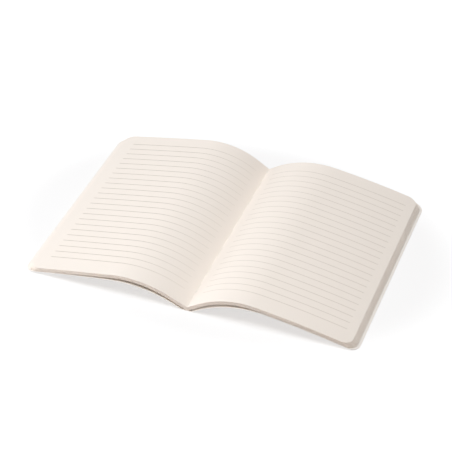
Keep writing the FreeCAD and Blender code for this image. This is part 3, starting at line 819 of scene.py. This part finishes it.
def spun_thread(context):
    """Three-ply cotton sewing thread: soft, with a little sheen from the loose spun fibres."""
    material, tree = new_material("spun sewing thread")
    base, fibre = linear(context.scene.notepad_thread.thread), 0.15 * MM
    output = mottled(tree, base, cloud=1.5 * MM, fibre=0.2 * MM, cloud_share=0.05, fibre_share=0.08)
    place = add_node(tree, "ShaderNodeTexCoord").outputs["Object"]
    fibres = add_node(
        tree, "ShaderNodeTexNoise", {"Vector": place, "Scale": 1 / fibre, "Detail": 3}
    )
    relief = add_node(
        tree,
        "ShaderNodeBump",
        {"Strength": 0.4, "Distance": 0.03 * MM, "Height": fibres.outputs["Fac"]},
    )
    shader = add_node(
        tree,
        "ShaderNodeBsdfPrincipled",
        {
            "Base Color": output,
            "Roughness": 0.75,
            "Sheen Weight": 0.2,
            "Sheen Roughness": 0.5,
            "Normal": relief.outputs["Normal"],
        },
    )
    add_node(tree, "ShaderNodeOutputMaterial", {"Surface": shader.outputs["BSDF"]})
    return material


def finish_piece(piece, body, node):
    """Ties a piece to the body that it moves with, and hides the solid that it stands for."""
    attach(piece, body)
    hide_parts(node)


# --- the stage -----------------------------------------------------------------------------------


def seen_share(tree):
    """1 for rays from the camera, straight or by way of gloss or glass, and 0 for light's rays."""
    rays = add_node(tree, "ShaderNodeLightPath").outputs
    share = rays["Is Camera Ray"]
    for other in (rays["Is Glossy Ray"], rays["Is Transmission Ray"]):
        share = add_node(tree, "ShaderNodeMath", [share, other], operation="MAXIMUM").outputs[0]
    return share


class NOTEPAD_OT_stage(bpy.types.Operator):
    """Makes the camera, the white floor and the soft light"""

    bl_idname = "notepad.stage"
    bl_label = "Camera, floor and light"

    def execute(self, context):
        sizes = context.scene.notepad_stage
        self.add_camera(context, sizes)
        self.add_floor(sizes)
        self.add_light(context, sizes)
        context.scene.view_settings.view_transform = "Standard"
        return {"FINISHED"}

    def add_camera(self, context, sizes):
        """Turns the camera to the azimuth and elevation, and then about its own line of sight."""
        az, el, roll = sizes.azimuth, sizes.elevation, sizes.roll
        back = Vector((math.sin(az) * math.cos(el), -math.cos(az) * math.cos(el), math.sin(el)))
        right = Vector((0, 0, 1)).cross(back).normalized()
        up = back.cross(right)
        leaning_right = math.cos(roll) * right + math.sin(roll) * up
        leaning_up = math.cos(roll) * up - math.sin(roll) * right
        data = bpy.data.cameras.new("camera")
        data.lens = sizes.lens
        data.sensor_width = 36  # millimetres
        data.clip_start, data.clip_end = 0.01, 100
        camera = bpy.data.objects.new("camera", data)
        turn = Matrix((leaning_right, leaning_up, back)).transposed().to_4x4()
        place = Vector(sizes.target) + sizes.distance * back
        camera.matrix_world = Matrix.Translation(place) @ turn
        context.scene.collection.objects.link(camera)
        context.scene.camera = camera

    def add_floor(self, sizes):
        """A wide level sheet of matt studio paper, which looks whiter than it lights the notepad.

        When it is seen, a glow is added to a darker paper, so that it is white in the open and the
        notepad's shadow on it stays pale. Near the notepad the glow is dimmer, which paints a faint
        wide shadow round it.
        """
        material, tree = new_material("white studio paper")
        plain = add_node(tree, "ShaderNodeBsdfDiffuse", {"Color": linear(sizes.floor)})
        shadow = add_node(tree, "ShaderNodeBsdfDiffuse", {"Color": linear(sizes.floor_seen)})
        place = add_node(tree, "ShaderNodeTexCoord").outputs["Object"]
        scaled = add_node(
            tree,
            "ShaderNodeVectorMath",
            [place, (1 / FRONT_REACH, 1 / BLOCK_HIGH.y, 0)],
            operation="MULTIPLY",
        )
        # It is 1 on the ellipse that just touches the notepad's four sides. Further out than 1.15
        # the glow starts to turn white, and from 1.9 it is white. Within that the glow stays
        # dimmer, a painted faint shadow round the notepad.
        away = add_node(tree, "ShaderNodeVectorMath", [scaled.outputs[0]], operation="LENGTH")
        far = add_node(
            tree,
            "ShaderNodeMapRange",
            {"Value": away.outputs["Value"], "From Min": 1.15, "From Max": 1.9},
            interpolation_type="SMOOTHSTEP",
        )
        # The glow's colour: dim near the notepad, a painted shadow, and white far off.
        glow_painted_shadow = add_node(
            tree,
            "ShaderNodeMix",
            {0: far.outputs[0], 6: linear(sizes.floor_glow_painted_shadow), 7: WHITE},
            data_type="RGBA",
        )
        glow = add_node(tree, "ShaderNodeEmission", {"Color": glow_painted_shadow.outputs[2]})
        white = add_node(tree, "ShaderNodeAddShader", [shadow.outputs[0], glow.outputs[0]])
        mix = add_node(
            tree, "ShaderNodeMixShader", [seen_share(tree), plain.outputs[0], white.outputs[0]]
        )
        add_node(tree, "ShaderNodeOutputMaterial", {"Surface": mix.outputs[0]})
        reach = 4
        corners = reach * np.array([(-1, -1, 0), (1, -1, 0), (1, 1, 0), (-1, 1, 0)], float)
        corners[:, 2] = -CLEAR
        floor = make_piece("floor", corners, [np.array([[0, 1, 2, 3]])], [material])

    def add_light(self, context, sizes):
        """An even sky that looks white, two softboxes above and a low strip light in front."""
        world = bpy.data.worlds.new("studio")
        context.scene.world = world
        world.use_nodes = True
        tree = world.node_tree
        tree.nodes.clear()
        light = add_node(tree, "ShaderNodeBackground", {"Color": WHITE, "Strength": sizes.sky})
        white = add_node(tree, "ShaderNodeBackground", {"Color": WHITE, "Strength": 1.0})
        mix = add_node(
            tree, "ShaderNodeMixShader", [seen_share(tree), light.outputs[0], white.outputs[0]]
        )
        add_node(tree, "ShaderNodeOutputWorld", {"Surface": mix.outputs[0]})
        for word, shape, place, size in (
            ("key", "ELLIPSE", (-0.35, -0.3, 1.6), (1.0, 1.0)),
            ("fill", "ELLIPSE", (0, -0.6, 1.6), (1.0, 1.0)),
            ("strip", "RECTANGLE", (-0.5, -0.65, 0.08), (0.4, 0.1)),
        ):
            data = bpy.data.lights.new(f"{word} lamp", "AREA")
            data.shape, (data.size, data.size_y) = shape, size
            data.energy = getattr(sizes, word)
            data.color = linear(getattr(sizes, f"{word}_colour"))[:3]
            lamp = bpy.data.objects.new(f"{word} lamp", data)
            lamp.location = place
            lamp.rotation_euler = (-Vector(place)).to_track_quat("-Z", "Y").to_euler()
            context.scene.collection.objects.link(lamp)


# --- the add-on ----------------------------------------------------------------------------------


class NOTEPAD_PT_panel(bpy.types.Panel):
    """Lists the notepad's steps"""

    bl_idname = "NOTEPAD_PT_panel"
    bl_label = "Notepad"
    bl_space_type = "VIEW_3D"
    bl_region_type = "UI"
    bl_category = "Notepad"

    def draw(self, context):
        for step in STEPS:
            self.layout.operator(step.bl_idname)


STEPS = (
    NOTEPAD_OT_stage,
    NOTEPAD_OT_centre_sheet,
    NOTEPAD_OT_nested_sheets,
    NOTEPAD_OT_cover,
    NOTEPAD_OT_thread,
)
GROUPS = {
    "notepad_pages": PageSizes,
    "notepad_ruling": RulingSizes,
    "notepad_cover": CoverSizes,
    "notepad_thread": ThreadSizes,
    "notepad_stage": StageSizes,
}


def register():
    """Makes the classes known, and gives each scene its sizes."""
    for kind in (*GROUPS.values(), *STEPS, NOTEPAD_PT_panel):
        bpy.utils.register_class(kind)
    for name, kind in GROUPS.items():
        setattr(bpy.types.Scene, name, PointerProperty(type=kind))


def unregister():
    """Takes the sizes and the classes away again."""
    for name in GROUPS:
        delattr(bpy.types.Scene, name)
    for kind in reversed((*GROUPS.values(), *STEPS, NOTEPAD_PT_panel)):
        bpy.utils.unregister_class(kind)


def main():
    """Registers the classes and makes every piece."""
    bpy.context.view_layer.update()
    register()
    bpy.ops.notepad.stage()
    bpy.ops.notepad.centre_sheet()
    bpy.ops.notepad.nested_sheets()
    bpy.ops.notepad.cover()
    bpy.ops.notepad.thread()


if __name__ == "__main__":
    main()
